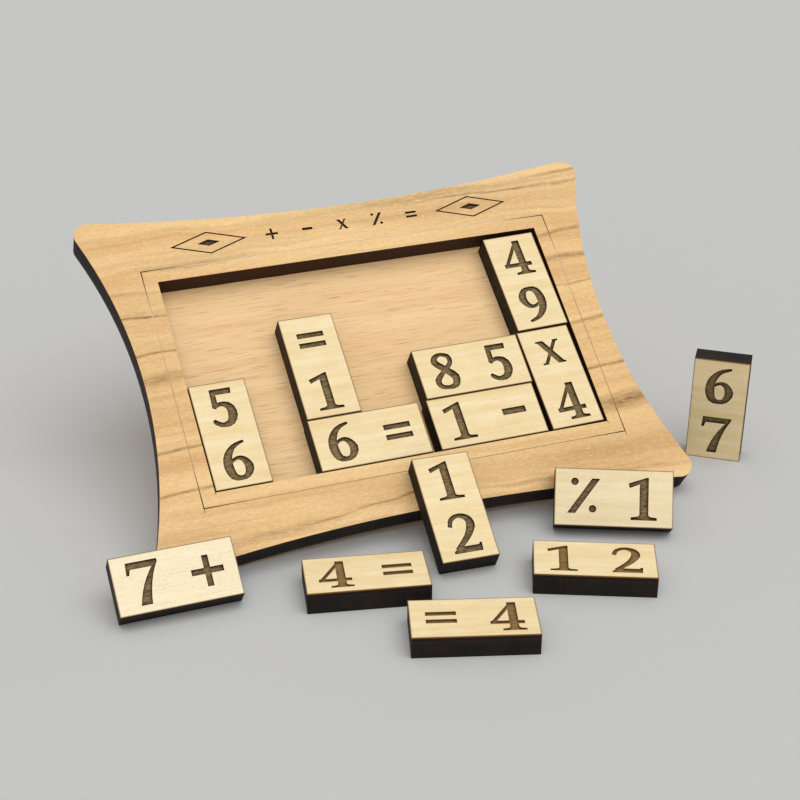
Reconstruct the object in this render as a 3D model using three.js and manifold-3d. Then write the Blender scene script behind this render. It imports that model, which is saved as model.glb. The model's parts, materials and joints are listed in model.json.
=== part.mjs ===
// Number tiling puzzle: a shallow wooden tray with bowed-in sides, tilted towards the reader on a wedge,
// and fourteen domino tiles engraved with figures and signs, some in the tray and some around it.
// Millimetres, +Z up. X runs along the tray's long side and the reader sits on the -Y side.

import * as THREE from "three";
import { mergeVertices } from "three/addons/utils/BufferGeometryUtils.js";
import Module from "manifold-3d";

const wasm = await Module();
wasm.setup();

// Sheet stock and the grid the tiles are cut on
const PITCH = 16; // one square of the puzzle
const KERF = 0.55; // what the cut takes off a tile, and the play of the whole pattern in the window
const SLACK = 1; // further play of the pattern down the window
const COLUMNS = 7; // squares across the window
const ROWS = 4; // squares down the window
const SHEET = 6.1; // thickness of the sheet for frame and tiles
const VENEER = 1.0; // pale face layer of that sheet
const BASE = 1.1; // thin floor sheet under the frame
const GLUE = 0.05; // glue line between two layers

// Tray outline
const SIDE_WAIST = 67; // half length at the middle of the bowed-in ends
const FRONT_WAIST = 49; // half depth at the middle of the bowed-in front and back
const END_BOW = 144; // radius of the curve of both ends
const LONG_BOW = 520; // radius of the curve of front and back
const CORNER_ROUND = 4; // rounding of the four horns
const WINDOW_MIDDLE = -0.6; // window a little in front of the tray's middle

// Engraving
const ENGRAVE = 0.55; // depth of figures, signs and lozenges
const LINE_DEPTH = 0.2; // depth of the border line
const LINE_WIDTH = 0.3; // border line
const LINE_INSET = 3.9; // border line to window edge
const FIGURE_HEIGHT = 11.5; // figures on the tiles
const LOZENGE_LENGTH = 22.2; // lozenge ornament, tip to tip
const LOZENGE_DEPTH = 7.4; // lozenge ornament, across
const LOZENGE_LINE = 0.42; // stroke of its outline
const LOZENGE_HEART = 0.3; // inner lozenge as a share of the outer one
const LOZENGE_OFFSET = 39.4; // lozenge centre from the middle of the margin
const HEAD_HEIGHT = 5; // row of signs between the lozenges
const HEAD_STEP = 10.5; // their spacing

// How the tray stands and how the tiles rest
const TILT = THREE.MathUtils.degToRad(33.4); // tray towards the reader
const REST_GAP = 0.1; // tile on floor, tile on frame
const SIDE_GAP = 0.35; // tile beside tile, tile beside wall
const WEDGE_WIDTH = 64; // wedge along X
const WEDGE_FRONT = 12; // front of the wedge behind the tray's middle
const WEDGE_DEPTH = 24; // wedge along Y
const WEDGE_GAP = 0.3; // felt-thin play between wedge and floor sheet

const TILE_LONG = 2 * PITCH - KERF;
const TILE_WIDE = PITCH - KERF;
const WINDOW_X = COLUMNS * PITCH + KERF;
const WINDOW_Y = ROWS * PITCH + KERF + SLACK;
const TRAY_HEIGHT = BASE + GLUE + SHEET;
const FLOOR_TOP = BASE;

const wood = (color, roughness) => new THREE.MeshStandardMaterial({ color, roughness, metalness: 0 });
const MAPLE = wood(0xf3dfb2, 0.55);
const CHAR = wood(0x2a211b, 0.8);
const CHERRY = wood(0xe2b67c, 0.5);
const BEECH = wood(0xe8c391, 0.6);
const PINE = wood(0xd9bd8d, 0.65);

// Closed solids for cutting, and back to a mesh geometry
function toSolid(geometry) {
  const bare = geometry.clone();
  bare.deleteAttribute("normal");
  bare.deleteAttribute("uv");
  const merged = mergeVertices(bare, 1e-5);
  return new wasm.Manifold(new wasm.Mesh({
    numProp: 3,
    vertProperties: Float32Array.from(merged.attributes.position.array),
    triVerts: Uint32Array.from(merged.index.array),
  }));
}

function toGeometry(solid) {
  const mesh = solid.getMesh();
  const geometry = new THREE.BufferGeometry();
  geometry.setAttribute("position", new THREE.BufferAttribute(Float32Array.from(mesh.vertProperties), 3));
  geometry.setIndex(new THREE.BufferAttribute(Uint32Array.from(mesh.triVerts), 1));
  geometry.computeVertexNormals();
  return geometry;
}

const prism = (shape, height, curveSegments = 6) =>
  new THREE.ExtrudeGeometry(shape, { depth: height, bevelEnabled: false, curveSegments });

const polygon = (points) => new THREE.Shape(points.map(([x, y]) => new THREE.Vector2(x, y)));

const rectangle = (width, height, x = 0, y = 0) => polygon([
  [x - width / 2, y - height / 2],
  [x + width / 2, y - height / 2],
  [x + width / 2, y + height / 2],
  [x - width / 2, y + height / 2],
]);

const lozenge = (length, depth, x = 0, y = 0) => polygon([
  [x - length / 2, y],
  [x, y - depth / 2],
  [x + length / 2, y],
  [x, y + depth / 2],
]);

const ringOf = (outer, inner) => {
  outer.holes.push(inner);
  return outer;
};

// A pen stroke whose half width swells and thins along a smooth line through its stations [x, y, half width]
function penStroke(stations, steps = 14) {
  const line = new THREE.SplineCurve(stations.map(([x, y]) => new THREE.Vector2(x, y)));
  const left = [];
  const right = [];
  for (let i = 0; i <= steps; i += 1) {
    const t = i / steps;
    const span = t * (stations.length - 1);
    const k = Math.min(Math.floor(span), stations.length - 2);
    const half = THREE.MathUtils.lerp(stations[k][2], stations[k + 1][2], span - k);
    const at = line.getPoint(t);
    const along = line.getTangent(t);
    left.push([at.x - along.y * half, at.y + along.x * half]);
    right.unshift([at.x + along.y * half, at.y - along.x * half]);
  }
  return polygon([...left, ...right]);
}

function dot(x, y, radius) {
  const shape = new THREE.Shape();
  shape.absarc(x, y, radius, 0, 2 * Math.PI, false);
  return shape;
}

const turned = (shapes) => shapes.map((shape) =>
  polygon(shape.getPoints(6).map((p) => [-p.x, 1 - p.y])));

// A figure seven's leg: two bowed edges, cut level at the foot
function sevenLeg() {
  const shape = new THREE.Shape();
  shape.moveTo(0.36, 1);
  shape.lineTo(0.2, 1);
  shape.lineTo(0.24, 0.86);
  shape.quadraticCurveTo(-0.06, 0.5, -0.17, 0);
  shape.lineTo(0.075, 0);
  shape.quadraticCurveTo(0.13, 0.55, 0.36, 0.93);
  return shape;
}

// Bold book figures and signs, one unit high, standing on 0 and centred on x = 0
const SIX = () => [
  penStroke([[0.25, 0.965, 0.03], [-0.02, 0.86, 0.06], [-0.2, 0.62, 0.1], [-0.235, 0.34, 0.115],
    [-0.16, 0.1, 0.095], [0.03, 0.035, 0.045]]),
  penStroke([[-0.05, 0.04, 0.05], [0.13, 0.08, 0.07], [0.235, 0.29, 0.11], [0.15, 0.5, 0.075],
    [-0.01, 0.555, 0.045], [-0.2, 0.44, 0.035]]),
];

const GLYPHS = {
  1: () => [
    rectangle(0.205, 0.9, 0, 0.45),
    polygon([[-0.3, 0], [0.3, 0], [0.3, 0.065], [0.14, 0.085], [0.1, 0.125], [-0.1, 0.125],
      [-0.14, 0.085], [-0.3, 0.065]]),
    polygon([[-0.335, 0.745], [-0.1025, 0.835], [0.1025, 0.835], [0.1025, 1], [0.06, 1], [-0.36, 0.855]]),
  ],
  2: () => [
    penStroke([[-0.27, 0.68, 0.05], [-0.2, 0.87, 0.055], [-0.01, 0.95, 0.055], [0.175, 0.86, 0.085],
      [0.215, 0.67, 0.105], [0.06, 0.39, 0.075], [-0.25, 0.09, 0.05]], 18),
    polygon([[-0.33, 0], [0.335, 0], [0.35, 0.21], [0.3, 0.21], [0.28, 0.165], [-0.16, 0.165],
      [-0.33, 0.06]]),
  ],
  4: () => [
    penStroke([[0.13, 0.965, 0.045], [-0.3, 0.3, 0.045]], 1),
    rectangle(0.73, 0.115, 0, 0.29),
    rectangle(0.195, 1, 0.135, 0.5),
    polygon([[-0.12, 0], [0.39, 0], [0.39, 0.065], [0.27, 0.085], [0.23, 0.12], [0.04, 0.12],
      [0, 0.085], [-0.12, 0.065]]),
  ],
  5: () => [
    polygon([[-0.225, 1], [-0.245, 0.52], [-0.165, 0.47], [-0.1, 0.6], [-0.1, 0.845], [0.27, 0.845],
      [0.285, 1]]),
    penStroke([[-0.2, 0.53, 0.04], [-0.02, 0.6, 0.06], [0.155, 0.505, 0.1], [0.19, 0.29, 0.115],
      [0.1, 0.1, 0.09], [-0.09, 0.05, 0.06], [-0.235, 0.13, 0.065], [-0.275, 0.21, 0.035]], 16),
  ],
  6: SIX,
  7: () => [
    polygon([[-0.35, 0.71], [-0.29, 0.71], [-0.25, 0.84], [0.3, 0.84], [0.36, 1], [-0.33, 1]]),
    sevenLeg(),
  ],
  8: () => [
    penStroke([[0.05, 0.965, 0.04], [-0.13, 0.915, 0.065], [-0.195, 0.76, 0.09], [0, 0.55, 0.09],
      [0.21, 0.31, 0.105], [0.155, 0.085, 0.08], [-0.05, 0.04, 0.045]], 18),
    penStroke([[0.04, 0.04, 0.045], [-0.185, 0.085, 0.065], [-0.245, 0.26, 0.08], [-0.05, 0.475, 0.055],
      [0.18, 0.69, 0.06], [0.165, 0.89, 0.065], [-0.05, 0.965, 0.04]], 18),
  ],
  9: () => turned(SIX()),
  equals: () => [rectangle(0.66, 0.14, 0, 0.39), rectangle(0.66, 0.14, 0, 0.66)],
  plus: () => [rectangle(0.72, 0.14, 0, 0.5), rectangle(0.14, 0.72, 0, 0.5)],
  minus: () => [rectangle(0.6, 0.17, 0, 0.52)],
  times: () => [
    polygon([[-0.29, 0.84], [0.11, 0.17], [0.3, 0.17], [-0.1, 0.84]]),
    polygon([[0.17, 0.84], [-0.27, 0.17], [-0.165, 0.17], [0.275, 0.84]]),
    rectangle(0.17, 0.05, -0.22, 0.815),
    rectangle(0.15, 0.05, 0.22, 0.815),
    rectangle(0.15, 0.05, -0.22, 0.195),
    rectangle(0.17, 0.05, 0.23, 0.195),
  ],
  divide: () => [
    polygon([[-0.375, 0.12], [-0.19, 0.12], [0.375, 0.94], [0.19, 0.94]]),
    dot(-0.21, 0.86, 0.089),
    dot(0.21, 0.23, 0.089),
  ],
};

// One sign as a cutter: its middle at (x, y), reaching ENGRAVE down from the surface
function signCutter(sign, height, x, y, surface) {
  const pieces = GLYPHS[sign]().map((shape) => {
    const geometry = prism(shape, 2 * ENGRAVE);
    geometry.translate(0, -0.5, 0);
    geometry.scale(height, height, 1);
    geometry.translate(x, y, surface - ENGRAVE);
    return toSolid(geometry);
  });
  return pieces.reduce((whole, piece) => whole.add(piece));
}

// A tile lies on its local z = 0 with its middle on the axis; its two signs are read along X or down Y
function makeTile(name, signs, upright) {
  const sizeX = upright ? TILE_WIDE : TILE_LONG;
  const sizeY = upright ? TILE_LONG : TILE_WIDE;
  const coreHeight = SHEET - VENEER - GLUE;
  const tile = new THREE.Group();
  const core = new THREE.Mesh(prism(rectangle(sizeX, sizeY), coreHeight), CHAR);
  core.name = `tile_${name}_core`;
  const blank = prism(rectangle(sizeX, sizeY), VENEER);
  blank.translate(0, 0, coreHeight + GLUE);
  const half = PITCH / 2;
  const face = signs.reduce((solid, sign, i) => {
    const reach = i === 0 ? -half : half;
    const cutter = signCutter(sign, FIGURE_HEIGHT, upright ? 0 : reach, upright ? -reach : 0, SHEET);
    return solid.subtract(cutter);
  }, toSolid(blank));
  const faceMesh = new THREE.Mesh(toGeometry(face), MAPLE);
  faceMesh.name = `tile_${name}_face`;
  tile.add(core, faceMesh);
  return tile;
}

// Tray outline: four bowed-in sides meeting in rounded horns
function hornCentre() {
  // The rounding touches both side curves from inside the horn
  const endX = SIDE_WAIST + END_BOW;
  const longY = FRONT_WAIST + LONG_BOW;
  const reachEnd = END_BOW + CORNER_ROUND;
  const reachLong = LONG_BOW + CORNER_ROUND;
  const span = Math.hypot(endX, longY);
  const along = (reachEnd ** 2 - reachLong ** 2 + span ** 2) / (2 * span);
  const off = Math.sqrt(reachEnd ** 2 - along ** 2);
  const ux = -endX / span;
  const uy = longY / span;
  return new THREE.Vector2(endX + ux * along - uy * off, uy * along + ux * off);
}

function trayOutline() {
  const horn = hornCentre();
  const endX = SIDE_WAIST + END_BOW;
  const longY = FRONT_WAIST + LONG_BOW;
  const toEnd = Math.atan2(-horn.y, endX - horn.x);
  const toLong = Math.atan2(longY - horn.y, -horn.x);
  const shape = new THREE.Shape();
  const endHalf = Math.atan2(horn.y, endX - horn.x);
  const longHalf = Math.atan2(horn.x, longY - horn.y);
  const right = Math.PI;
  shape.absarc(endX, 0, END_BOW, right + endHalf, right - endHalf, true);
  shape.absarc(horn.x, horn.y, CORNER_ROUND, toEnd, toLong, false);
  shape.absarc(0, longY, LONG_BOW, -Math.PI / 2 + longHalf, -Math.PI / 2 - longHalf, true);
  shape.absarc(-horn.x, horn.y, CORNER_ROUND, Math.PI - toLong, Math.PI - toEnd, false);
  shape.absarc(-endX, 0, END_BOW, endHalf, -endHalf, true);
  shape.absarc(-horn.x, -horn.y, CORNER_ROUND, Math.PI + toEnd, Math.PI + toLong, false);
  shape.absarc(0, -longY, LONG_BOW, Math.PI / 2 + longHalf, Math.PI / 2 - longHalf, true);
  shape.absarc(horn.x, -horn.y, CORNER_ROUND, -toLong, -toEnd, false);
  return shape;
}

const OUTLINE_STEPS = 10;

// Frame face: border line round the window, two lozenges and a row of signs on the back margin
function engravedFace(blank, top) {
  const cutDepth = (shape, depth = ENGRAVE) => {
    const geometry = prism(shape, 2 * depth);
    geometry.translate(0, 0, top - depth);
    return toSolid(geometry);
  };
  const lineX = WINDOW_X + 2 * LINE_INSET;
  const lineY = WINDOW_Y + 2 * LINE_INSET;
  let face = blank.subtract(cutDepth(ringOf(
    rectangle(lineX + LINE_WIDTH, lineY + LINE_WIDTH, 0, WINDOW_MIDDLE),
    rectangle(lineX - LINE_WIDTH, lineY - LINE_WIDTH, 0, WINDOW_MIDDLE),
  ), LINE_DEPTH));
  const marginY = (WINDOW_MIDDLE + lineY / 2 + FRONT_WAIST) / 2;
  const shrink = LOZENGE_LINE * Math.hypot(1, LOZENGE_LENGTH / LOZENGE_DEPTH);
  for (const side of [-1, 1]) {
    const x = side * LOZENGE_OFFSET;
    const inset = 1 - (2 * shrink) / LOZENGE_LENGTH;
    const inner = lozenge(LOZENGE_LENGTH * inset, LOZENGE_DEPTH * inset, x, marginY);
    const heart = lozenge(LOZENGE_LENGTH * LOZENGE_HEART, LOZENGE_DEPTH * LOZENGE_HEART, x, marginY);
    face = face.subtract(cutDepth(ringOf(lozenge(LOZENGE_LENGTH, LOZENGE_DEPTH, x, marginY), inner)));
    face = face.subtract(cutDepth(heart));
  }
  const head = ["plus", "minus", "times", "divide", "equals"];
  head.forEach((sign, i) => {
    const x = (i - (head.length - 1) / 2) * HEAD_STEP;
    face = face.subtract(signCutter(sign, HEAD_HEIGHT, x, marginY, top));
  });
  return face;
}

// The tray's own frame: origin in the middle of its underside
const tray = new THREE.Group();
const outlinePoints = trayOutline().getPoints(OUTLINE_STEPS);
const reachFront = Math.min(...outlinePoints.map((p) => p.y));
tray.rotation.x = TILT;
tray.position.z = -reachFront * Math.sin(TILT);

function addToTray(name, geometry, material) {
  const mesh = new THREE.Mesh(geometry, material);
  mesh.name = name;
  tray.add(mesh);
}

const ringSheet = (height, z) => {
  const ring = ringOf(trayOutline(), rectangle(WINDOW_X, WINDOW_Y, 0, WINDOW_MIDDLE));
  const geometry = prism(ring, height, OUTLINE_STEPS);
  geometry.translate(0, 0, z);
  return geometry;
};

addToTray("base_board", prism(trayOutline(), BASE, OUTLINE_STEPS), BEECH);
addToTray("frame_board", ringSheet(SHEET - VENEER - GLUE, BASE + GLUE), CHAR);
const faceSolid = toSolid(ringSheet(VENEER, TRAY_HEIGHT - VENEER));
addToTray("frame_face", toGeometry(engravedFace(faceSolid, TRAY_HEIGHT)), CHERRY);

const puzzle = new THREE.Group();
puzzle.add(tray);

// Wedge under the back half of the tray, its top cut to the tray's slope
const wedgeTop = (y) => tray.position.z + y * Math.tan(TILT) - WEDGE_GAP / Math.cos(TILT);
const wedgeBack = WEDGE_FRONT + WEDGE_DEPTH;
const wedge = prism(polygon([
  [WEDGE_FRONT, 0],
  [wedgeBack, 0],
  [wedgeBack, wedgeTop(wedgeBack)],
  [WEDGE_FRONT, wedgeTop(WEDGE_FRONT)],
]), WEDGE_WIDTH);
wedge.translate(0, 0, -WEDGE_WIDTH / 2);
wedge.rotateY(Math.PI / 2);
wedge.rotateX(Math.PI / 2);
const wedgeMesh = new THREE.Mesh(wedge, PINE);
wedgeMesh.name = "tilt_wedge";
puzzle.add(wedgeMesh);

// Tiles in the tray have slid down to the front wall or onto the tile below them; two stand a little askew
const ASKEW_LOW = THREE.MathUtils.degToRad(0.9);
const ASKEW_HIGH = THREE.MathUtils.degToRad(1.1);
const floorFront = WINDOW_MIDDLE - WINDOW_Y / 2 + SIDE_GAP;
const askewRise = (turn) => (TILE_WIDE / 2) * Math.sin(turn);
const onWall = (height) => floorFront + height / 2;
const onTile = (below, height) => floorFront + below + SIDE_GAP + height / 2;
const lowRise = askewRise(ASKEW_LOW);
const highRise = 2 * lowRise + askewRise(ASKEW_HIGH);

// Their places: along X in squares from the window's middle, along Y by what they have slid down to
const besideWall = (-WINDOW_X / 2 + SIDE_GAP + TILE_WIDE / 2) / PITCH;
const lowAskew = { y: onWall(TILE_LONG) + lowRise, turn: ASKEW_LOW };
const highAskew = { y: onTile(TILE_LONG, TILE_LONG) + highRise, turn: ASKEW_HIGH };
const IN_TRAY = [
  { name: "5_6", signs: [5, 6], upright: true, right: besideWall, y: onWall(TILE_LONG) },
  { name: "6_equals", signs: [6, "equals"], upright: false, right: -0.705, y: onWall(TILE_WIDE) },
  { name: "equals_1", signs: ["equals", 1], upright: true, right: -1.195, y: onTile(TILE_WIDE, TILE_LONG) },
  { name: "1_minus", signs: [1, "minus"], upright: false, right: 1.42, y: onWall(TILE_WIDE) },
  { name: "8_5", signs: [8, 5], upright: false, right: 1.45, y: onTile(TILE_WIDE, TILE_WIDE) },
  { name: "times_4", signs: ["times", 4], upright: true, right: 2.96, ...lowAskew },
  { name: "4_9", signs: [4, 9], upright: true, right: 2.97, ...highAskew },
];

for (const { name, signs, upright, right, y, turn = 0 } of IN_TRAY) {
  const tile = makeTile(name, signs, upright);
  tile.position.set(right * PITCH, y, FLOOR_TOP + REST_GAP);
  tile.rotation.z = turn;
  tray.add(tile);
}

// Loose tiles are placed in squares: along X from the tray's middle or end, along Y from its front horns
const hornLine = reachFront * Math.cos(TILT);
const ON_TABLE = [
  { name: "equals_4", signs: ["equals", 4], right: -0.47, ahead: 2.86, turn: -16.7 },
  { name: "4_equals", signs: [4, "equals"], right: -1.62, ahead: 1.17, turn: -11.9 },
  { name: "1_2_wide", signs: [1, 2], right: 1.945, ahead: 2.05, turn: -23 },
];

for (const { name, signs, right, ahead, turn } of ON_TABLE) {
  const tile = makeTile(name, signs, false);
  tile.position.set(right * PITCH, hornLine - ahead * PITCH, 0);
  tile.rotation.z = THREE.MathUtils.degToRad(turn);
  puzzle.add(tile);
}

// Tile standing on its short end beside the tray, its face to the reader
const STANDING = { beside: 1.405, behind: 0.67, turn: -34.9 };
const standing = makeTile("6_7", [6, 7], true);
standing.position.y = SHEET;
standing.position.z = TILE_LONG / 2;
standing.rotation.x = Math.PI / 2;
const standingPlace = new THREE.Group();
standingPlace.position.set(SIDE_WAIST + STANDING.beside * PITCH, hornLine + STANDING.behind * PITCH, 0);
standingPlace.rotation.z = THREE.MathUtils.degToRad(STANDING.turn);
standingPlace.add(standing);
puzzle.add(standingPlace);

// A point on the frame's face or edge, from tray coordinates to the table's
const onFrame = (x, y) => {
  tray.updateMatrixWorld(true);
  return new THREE.Vector3(x, y, TRAY_HEIGHT).applyMatrix4(tray.matrixWorld);
};

// A tile leaning up the slope: its lower edge on the table, its upper edge or a corner on the frame's face,
// or, where it is steeper than the tray, its underside on the front of a horn
function leanOnFace(name, signs, upright, x, slopeDegrees, turnDegrees = 0) {
  const slope = THREE.MathUtils.degToRad(slopeDegrees);
  const turn = THREE.MathUtils.degToRad(turnDegrees);
  const [run, width] = upright ? [TILE_LONG, TILE_WIDE] : [TILE_WIDE, TILE_LONG];
  const horn = onFrame(0, reachFront);
  const riseTo = run * Math.sin(slope) - REST_GAP / Math.cos(TILT);
  const upperY = horn.y + (riseTo - horn.z) / Math.tan(TILT);
  const reach = run * Math.cos(slope) * Math.cos(turn) + (width / 2) * Math.abs(Math.sin(turn));
  const onHorn = horn.y - (horn.z + REST_GAP / Math.cos(slope)) / Math.tan(slope);
  const tile = makeTile(name, signs, upright);
  tile.position.y = run / 2;
  const hinge = new THREE.Group();
  hinge.rotation.x = slope;
  hinge.add(tile);
  const place = new THREE.Group();
  place.position.set(x, Math.min(upperY - reach, onHorn), 0);
  place.rotation.z = turn;
  place.add(hinge);
  puzzle.add(place);
}

const UPRIGHT_LEAN = { right: 0.127, slope: 28.9, turn: -3 };
const END_LEAN = { beyond: 0.345, slope: 38.5 };
leanOnFace("1_2_tall", [1, 2], true, UPRIGHT_LEAN.right * PITCH, UPRIGHT_LEAN.slope, UPRIGHT_LEAN.turn);
leanOnFace("7_plus", [7, "plus"], false, -SIDE_WAIST - END_LEAN.beyond * PITCH, END_LEAN.slope);

// A tile leaning askew: lower edge on the table, its back against the frame's front edge
function leanOnEdge(name, signs, cornerX, slopeDegrees, turnDegrees) {
  const slope = THREE.MathUtils.degToRad(slopeDegrees);
  const turn = THREE.MathUtils.degToRad(turnDegrees);
  const waist = FRONT_WAIST + LONG_BOW;
  const steps = 400;
  let cornerY = Infinity;
  for (let i = 0; i <= steps; i += 1) {
    const x = cornerX + (i / steps) * TILE_LONG;
    const edge = onFrame(x, Math.sqrt(LONG_BOW ** 2 - x ** 2) - waist);
    const drop = (edge.x - cornerX) * Math.sin(turn) * Math.sin(slope) + edge.z * Math.cos(slope) + REST_GAP;
    const y = edge.y - drop / (Math.cos(turn) * Math.sin(slope));
    const along = (edge.x - cornerX) * Math.cos(turn) + (edge.y - y) * Math.sin(turn);
    if (along >= 0) {
      cornerY = Math.min(cornerY, y);
    }
  }
  const tile = makeTile(name, signs, false);
  tile.position.set(TILE_LONG / 2, TILE_WIDE / 2, 0);
  const hinge = new THREE.Group();
  hinge.rotation.x = slope;
  hinge.add(tile);
  const place = new THREE.Group();
  place.position.set(cornerX, cornerY, 0);
  place.rotation.z = turn;
  place.add(hinge);
  puzzle.add(place);
}

const EDGE_LEAN = { right: 1.95, slope: 49.5, turn: -23.5 };
leanOnEdge("divide_1", ["divide", 1], EDGE_LEAN.right * PITCH, EDGE_LEAN.slope, EDGE_LEAN.turn);

// Origin under the middle of everything, on the table
puzzle.updateMatrixWorld(true);
const box = new THREE.Box3().setFromObject(puzzle, true);
puzzle.position.set(-(box.min.x + box.max.x) / 2, -(box.min.y + box.max.y) / 2, -box.min.z);
puzzle.updateMatrixWorld(true);

export default puzzle;
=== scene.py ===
"""Looks of the number tiling puzzle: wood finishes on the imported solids, a plain studio and the camera.

The solids carry every shape: the tray with its bowed-in frame, the wedge behind it and fourteen
two-square tiles with burnt-in signs. This script gives each of them the wood it is made of.
Metres, in the row frame: +X along the tray, +Y away from the reader, +Z up. Patterns are in millimetres.
"""

import json
import logging
import math
from dataclasses import dataclass
from enum import Enum
from typing import Any, Union

import bpy
import numpy as np
from mathutils import Euler, Matrix, Vector


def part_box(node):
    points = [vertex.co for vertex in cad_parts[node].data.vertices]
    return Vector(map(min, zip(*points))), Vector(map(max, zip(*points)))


log = logging.getLogger("number_tiling_puzzle")
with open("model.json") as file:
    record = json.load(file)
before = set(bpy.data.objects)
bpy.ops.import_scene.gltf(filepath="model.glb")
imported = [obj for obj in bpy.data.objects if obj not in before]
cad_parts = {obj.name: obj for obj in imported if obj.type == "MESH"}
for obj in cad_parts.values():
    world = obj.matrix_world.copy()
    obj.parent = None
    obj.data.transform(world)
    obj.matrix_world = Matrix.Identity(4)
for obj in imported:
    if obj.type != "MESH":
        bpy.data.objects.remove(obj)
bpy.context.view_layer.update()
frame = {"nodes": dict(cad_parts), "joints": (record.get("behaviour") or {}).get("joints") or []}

Tree = bpy.types.NodeTree
Node = bpy.types.Node
Colour = tuple[float, float, float, float]
Source = Union[bpy.types.Node, bpy.types.NodeSocket, Colour, float]

MM = 0.001
MICROMETRE = 6  # decimals of a metre to which corners are told apart
WAVE_PERIOD = math.pi / 10  # period of a wave texture whose scale is one
GRAIN_STEP = (7.31, 3.17, 1.73)  # how far a noise moves for each step of a piece's seed
FURROW_STEP = (5.1, 2.3, 1.0)  # the same for the furrows of a cut
BURNT_ROUGHNESS = 0.85


class Kind(str, Enum):
    """The shader nodes that the finishes are drawn with."""

    COORDS = "ShaderNodeTexCoord"
    MAPPING = "ShaderNodeMapping"
    SPLIT = "ShaderNodeSeparateXYZ"
    MATH = "ShaderNodeMath"
    VECTOR = "ShaderNodeVectorMath"
    RANGE = "ShaderNodeMapRange"
    MIX = "ShaderNodeMix"
    NOISE = "ShaderNodeTexNoise"
    WAVE = "ShaderNodeTexWave"
    GRADIENT = "ShaderNodeTexGradient"
    AMBIENT_OCCLUSION = "ShaderNodeAmbientOcclusion"
    BUMP = "ShaderNodeBump"
    SHADER = "ShaderNodeBsdfPrincipled"
    OUTPUT = "ShaderNodeOutputMaterial"
    BACKGROUND = "ShaderNodeBackground"
    RAY = "ShaderNodeLightPath"
    BLEND = "ShaderNodeMixShader"
    WORLD = "ShaderNodeOutputWorld"


class Ramp(str, Enum):
    """How a fade runs from its start to its end."""

    STRAIGHT = "LINEAR"
    SOFT = "SMOOTHSTEP"


class Reading(Enum):
    """How a tile's two signs are read: side by side along it, or one under the other."""

    ALONG = "along"
    DOWN = "down"


def linear(colour: str) -> Colour:
    """Turns an sRGB hex colour into linear values.

    Args:
        colour: "#RRGGBB".

    Returns:
        Red, green, blue and an alpha of one.
    """
    parts = [int(colour[i:i + 2], 16) / 255 for i in (1, 3, 5)]
    r, g, b = (p / 12.92 if p <= 0.04045 else ((p + 0.055) / 1.055) ** 2.4 for p in parts)
    return r, g, b, 1.0


def add_node(tree: Tree, kind: Kind, inputs: dict[str | int, Any] | None = None, **settings: Any) -> Node:
    """Adds one node with its settings and links.

    Args:
        tree: Node tree of the material or world.
        kind: Which node.
        inputs: For each input, by name or number, a value, a socket, or a node whose first output is taken.
        **settings: The node's own properties.

    Returns:
        The node.
    """
    node = tree.nodes.new(kind.value)
    for name, value in settings.items():
        setattr(node, name, value)
    for key, value in (inputs or {}).items():
        socket = node.inputs[key] if isinstance(key, int) else next(
            s for s in node.inputs if s.enabled and s.name == key)
        if isinstance(value, bpy.types.Node):
            value = next(s for s in value.outputs if s.enabled)
        if isinstance(value, bpy.types.NodeSocket):
            tree.links.new(value, socket)
        else:
            socket.default_value = value
    return node


@dataclass(frozen=True)
class Place:
    """A square frame on a piece: z is zero on its top face and x runs along its grain.

    Args:
        origin: Middle of the top face, in metres in the row frame.
        grain: Unit vector along the grain.
        up: Unit vector out of the top face.
    """

    origin: Vector
    grain: Vector
    up: Vector

    def turn(self) -> Euler:
        """Gives the frame's rotation against the row frame."""
        across = self.up.cross(self.grain)
        return Matrix((self.grain, across, self.up)).transposed().to_euler()


@dataclass(frozen=True)
class Fade:
    """How a look comes in as a pattern or a distance goes from a start to an end.

    Args:
        start: Where it begins to show.
        end: Where it shows most.
        most: How much of it shows there.
        least: How much of it shows before the start.
    """

    start: float = 0.0
    end: float = 1.0
    most: float = 1.0
    least: float = 0.0

    def reads(self, measure: Source) -> dict[str | int, Any]:
        """Gives the inputs of a range node that reads the measure."""
        return {"Value": measure, "From Min": self.start, "From Max": self.end,
                "To Min": self.least, "To Max": self.most}


@dataclass(frozen=True)
class Stain:
    """A colour that lies over the wood where a pattern or a distance calls for it.

    Args:
        colour: Its sRGB hex colour.
        fade: Where it comes in, and how much of the ground it hides.
        ramp: How it comes in.
    """

    colour: str
    fade: Fade
    ramp: Ramp = Ramp.STRAIGHT

    def over(self, tree: Tree, ground: Source, pattern: Source) -> Node:
        """Lays the colour over a ground.

        Args:
            tree: Node tree of the material.
            ground: Colour under the stain.
            pattern: The pattern or distance that it follows.

        Returns:
            Node of the stained colour.
        """
        amount = add_node(tree, Kind.RANGE, self.fade.reads(pattern), interpolation_type=self.ramp.value)
        return add_node(tree, Kind.MIX, {
            "Factor": amount, "A": ground, "B": linear(self.colour)}, data_type="RGBA")


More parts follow.
